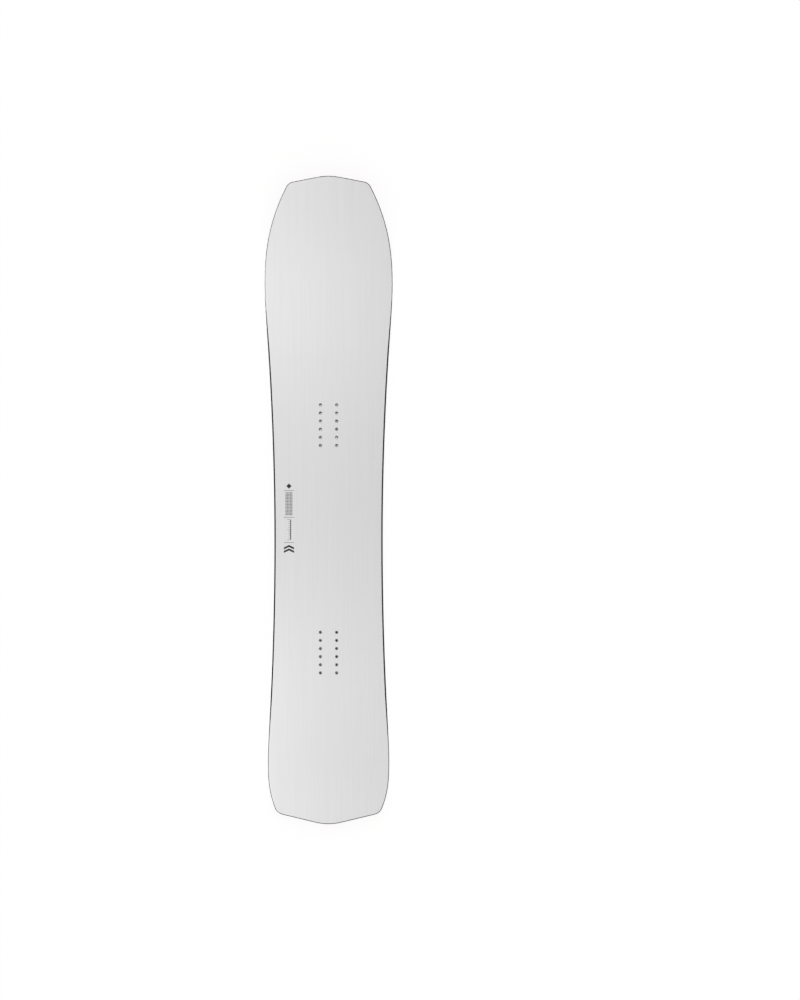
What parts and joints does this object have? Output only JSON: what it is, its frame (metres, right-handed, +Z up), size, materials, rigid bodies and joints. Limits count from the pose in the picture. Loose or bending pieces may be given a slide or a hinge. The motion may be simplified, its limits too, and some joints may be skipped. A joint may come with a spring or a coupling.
{
  "type": "snowboard",
  "caption": "Directional snowboard with a blunt nose and tail, grey topsheet, red base, steel edges and threaded binding inserts, lying base down.",
  "frame": {"origin": "on the ground, under the middle of the board's length and width, with the board lying base down", "axes": "+Y towards the nose, +Z up from the snow, +X to the right as seen from above with the nose away"},
  "size_m": [0.3154, 1.595, 0.058],
  "materials": {
    "topsheet": "satin",
    "base": "satin",
    "sidewall": "satin",
    "spacer": "satin",
    "edge_steel": "satin",
    "insert_steel": "satin",
    "laminate": "satin",
    "foil_rubber": "matte",
    "core_wood": "matte"
  },
  "bodies": {
    "root": {"topsheet": "topsheet", "upper_glass": "laminate", "lower_glass": "laminate", "base": "base", "edge_left": "edge_steel", "edge_right": "edge_steel", "foil_left": "foil_rubber", "foil_right": "foil_rubber", "sidewall_left": "sidewall", "sidewall_right": "sidewall", "nose_spacer": "spacer", "tail_spacer": "spacer", "core_stave_center": "core_wood", "core_stave_left_1": "core_wood", "core_stave_left_2": "core_wood", "core_stave_left_3": "core_wood", "core_stave_left_4": "core_wood", "core_stave_left_5": "core_wood", "core_stave_left_6": "core_wood", "core_stave_right_1": "core_wood", "core_stave_right_2": "core_wood", "core_stave_right_3": "core_wood", "core_stave_right_4": "core_wood", "core_stave_right_5": "core_wood", "core_stave_right_6": "core_wood", "core_wedge_nose_left": "core_wood", "core_wedge_nose_right": "core_wood", "core_wedge_tail_left": "core_wood", "core_wedge_tail_right": "core_wood", "insert_nose_left_1": "insert_steel", "insert_nose_left_2": "insert_steel", "insert_nose_left_3": "insert_steel", "insert_nose_left_4": "insert_steel", "insert_nose_left_5": "insert_steel", "insert_nose_left_6": "insert_steel", "insert_nose_right_1": "insert_steel", "insert_nose_right_2": "insert_steel", "insert_nose_right_3": "insert_steel", "insert_nose_right_4": "insert_steel", "insert_nose_right_5": "insert_steel", "insert_nose_right_6": "insert_steel", "insert_tail_left_1": "insert_steel", "insert_tail_left_2": "insert_steel", "insert_tail_left_3": "insert_steel", "insert_tail_left_4": "insert_steel", "insert_tail_left_5": "insert_steel", "insert_tail_left_6": "insert_steel", "insert_tail_right_1": "insert_steel", "insert_tail_right_2": "insert_steel", "insert_tail_right_3": "insert_steel", "insert_tail_right_4": "insert_steel", "insert_tail_right_5": "insert_steel", "insert_tail_right_6": "insert_steel"}
  },
  "joints": []
}
